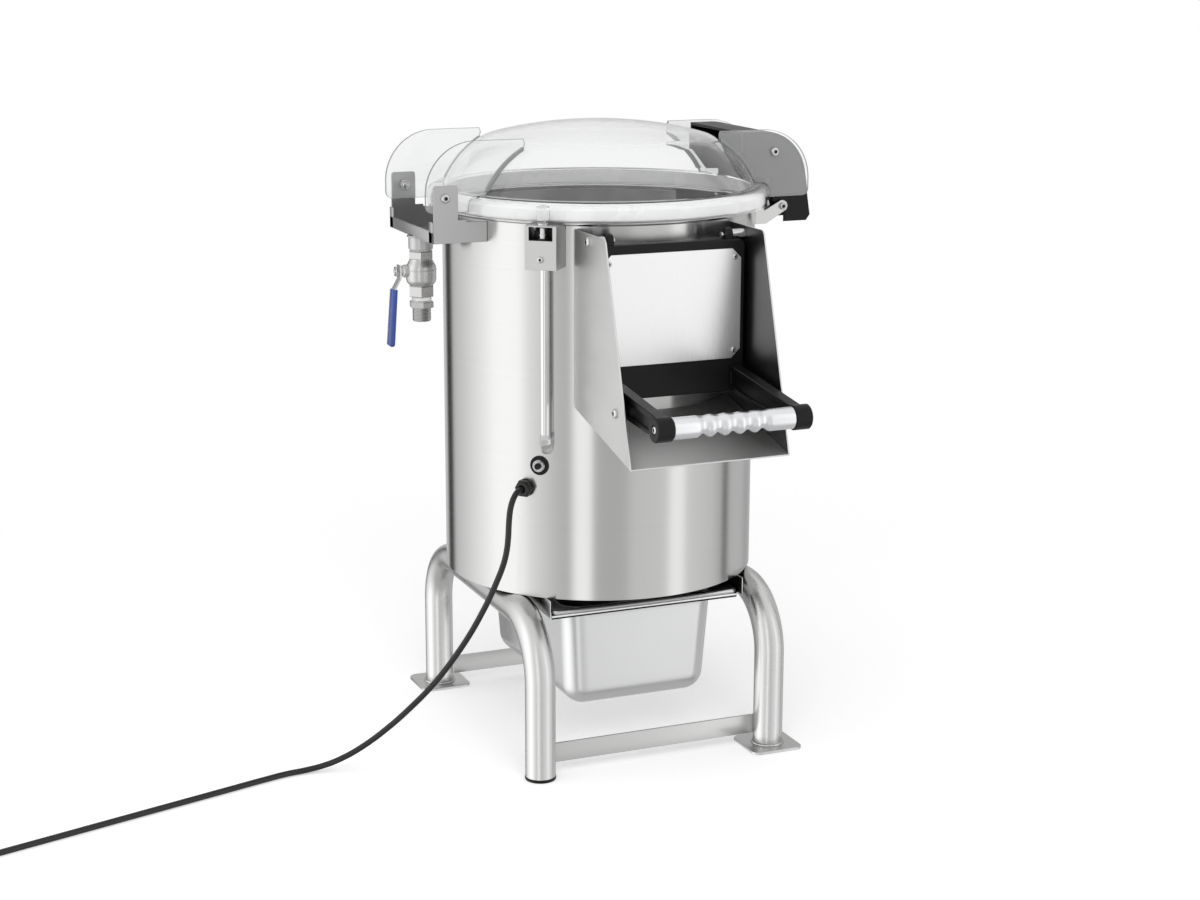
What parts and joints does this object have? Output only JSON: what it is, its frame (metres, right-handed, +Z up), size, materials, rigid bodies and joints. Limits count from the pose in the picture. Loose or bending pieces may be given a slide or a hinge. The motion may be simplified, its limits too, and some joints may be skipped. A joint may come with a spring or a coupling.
{
  "type": "electric potato peeler",
  "caption": "Floor-standing electric potato peeler: steel drum on a tubular stand, clear hinged lid, front chute door with grip, water valve, drive and slide-out catch pan.",
  "frame": {"origin": "on the floor under the drum's axis, midway between the four feet", "axes": "+Z up along the drum axis, -Y towards the front with the chute, -X towards the lid hinge and the water inlet"},
  "size_m": [1.3894, 0.7135, 0.8852],
  "materials": {
    "stainless": "brushed stainless steel sheet and tube",
    "bright_steel": "bright steel fasteners and turned parts",
    "pressed_steel": "polished pressed stainless steel",
    "nickel": "nickel-plated brass",
    "black_plastic": "satin black moulding",
    "black_rubber": "matte black rubber",
    "abrasive": "coarse dark abrasive lining",
    "cast_aluminium": "cast disc with abrasive face",
    "grip_aluminium": "satin turned aluminium",
    "clear_plastic": "clear polycarbonate",
    "milky_silicone": "milky translucent silicone",
    "clear_sleeve": "translucent shrink sleeve",
    "cast_iron": "machined grey iron",
    "motor_paint": "grey paint",
    "blue_vinyl": "blue dipped vinyl"
  },
  "bodies": {
    "machine": {"leg_frame_left": "stainless", "leg_frame_right": "stainless", "cross_bars": "stainless", "foot_plates": "stainless", "foot_caps": "black_plastic", "base_plate": "stainless", "drum_shell": "stainless", "door_frame": "stainless", "chamber_floor": "stainless", "drain_spout": "stainless", "drum_liner": "abrasive", "chute": "stainless", "bearing_housing": "cast_iron", "bearings": "bright_steel", "drive_belt": "black_rubber", "motor": "motor_paint", "motor_bracket": "motor_paint", "breaker_body": "bright_steel", "breaker_ring": "black_plastic", "cable_gland": "black_plastic", "mains_cord": "black_rubber", "mains_coil": "black_rubber", "mains_plug": "black_plastic", "conduit_tube": "bright_steel", "conduit_elbow": "clear_sleeve", "switch_box": "stainless", "lid_switch": "black_plastic", "pan_rails": "stainless", "door_hinge_bolts": "bright_steel", "door_catches": "bright_steel", "hinge_bracket": "stainless", "hinge_bolts": "bright_steel", "keeper_arms": "stainless", "keeper_pins": "bright_steel", "valve_body": "nickel", "valve_nipple": "nickel"},
    "lid": {"lid_dome": "clear_plastic", "lid_gasket": "milky_silicone", "lid_ears": "clear_plastic", "switch_actuator": "clear_plastic", "latch_pivots": "bright_steel"},
    "latch": {"latch_handle": "black_plastic"},
    "door": {"door_panel": "black_plastic", "door_face_plate": "bright_steel", "door_seal": "black_rubber", "handle_arms": "black_plastic", "handle_grip": "grip_aluminium", "door_screws": "bright_steel"},
    "inlet_lever": {"valve_ball": "nickel", "valve_lever": "bright_steel", "lever_sleeve": "blue_vinyl"},
    "rotor": {"drive_shaft": "bright_steel", "shaft_pulley": "cast_iron", "peeling_disc": "cast_aluminium", "disc_nut": "bright_steel"},
    "motor_rotor": {"motor_shaft": "bright_steel", "motor_pulley": "cast_iron"},
    "pan": {"catch_pan": "pressed_steel"},
    "reset_button": {"breaker_button": "black_plastic"},
    "switch_plunger": {"lid_plunger": "bright_steel"}
  },
  "joints": [
    {"name": "lid_hinge", "type": "hinge", "parent": "machine", "child": "lid", "pos_m": [-0.262, 0, 0.796], "axis": [0, -1, 0], "range_deg": [0, 95]},
    {"name": "latch_pivot", "type": "hinge", "parent": "lid", "child": "latch", "pos_m": [0.233, 0, 0.84], "axis": [0, -1, 0], "range_deg": [0, 8]},
    {"name": "door_hinge", "type": "hinge", "parent": "machine", "child": "door", "pos_m": [0, -0.24, 0.749], "axis": [-1, 0, 0], "range_deg": [0, 60]},
    {"name": "inlet_valve", "type": "hinge", "parent": "machine", "child": "inlet_lever", "pos_m": [-0.267, 0, 0.686], "axis": [-1, 0, 0], "range_deg": [0, 90]},
    {"name": "disc_spin", "type": "hinge", "parent": "machine", "child": "rotor", "pos_m": [0, 0, 0.508], "axis": [0, 0, 1], "continuous": true},
    {"name": "motor_spin", "type": "hinge", "parent": "machine", "child": "motor_rotor", "pos_m": [0, 0.136, 0.31], "axis": [0, 0, 1], "continuous": true},
    {"name": "pan_slide", "type": "slide", "parent": "machine", "child": "pan", "axis": [0, -1, 0], "range_m": [0, 0.28]},
    {"name": "reset_press", "type": "slide", "parent": "machine", "child": "reset_button", "axis": [0.6909, 0.723, 0], "range_m": [0, 0.003], "stiffness_N_per_m": 400, "springref_m": -0.001},
    {"name": "switch_press", "type": "slide", "parent": "machine", "child": "switch_plunger", "axis": [0, 0, -1], "range_m": [0, 0.002], "stiffness_N_per_m": 600, "springref_m": -0.001}
  ],
  "couplings": [
    {"joint": "motor_spin", "follows": "disc_spin", "ratio": 3}
  ]
}
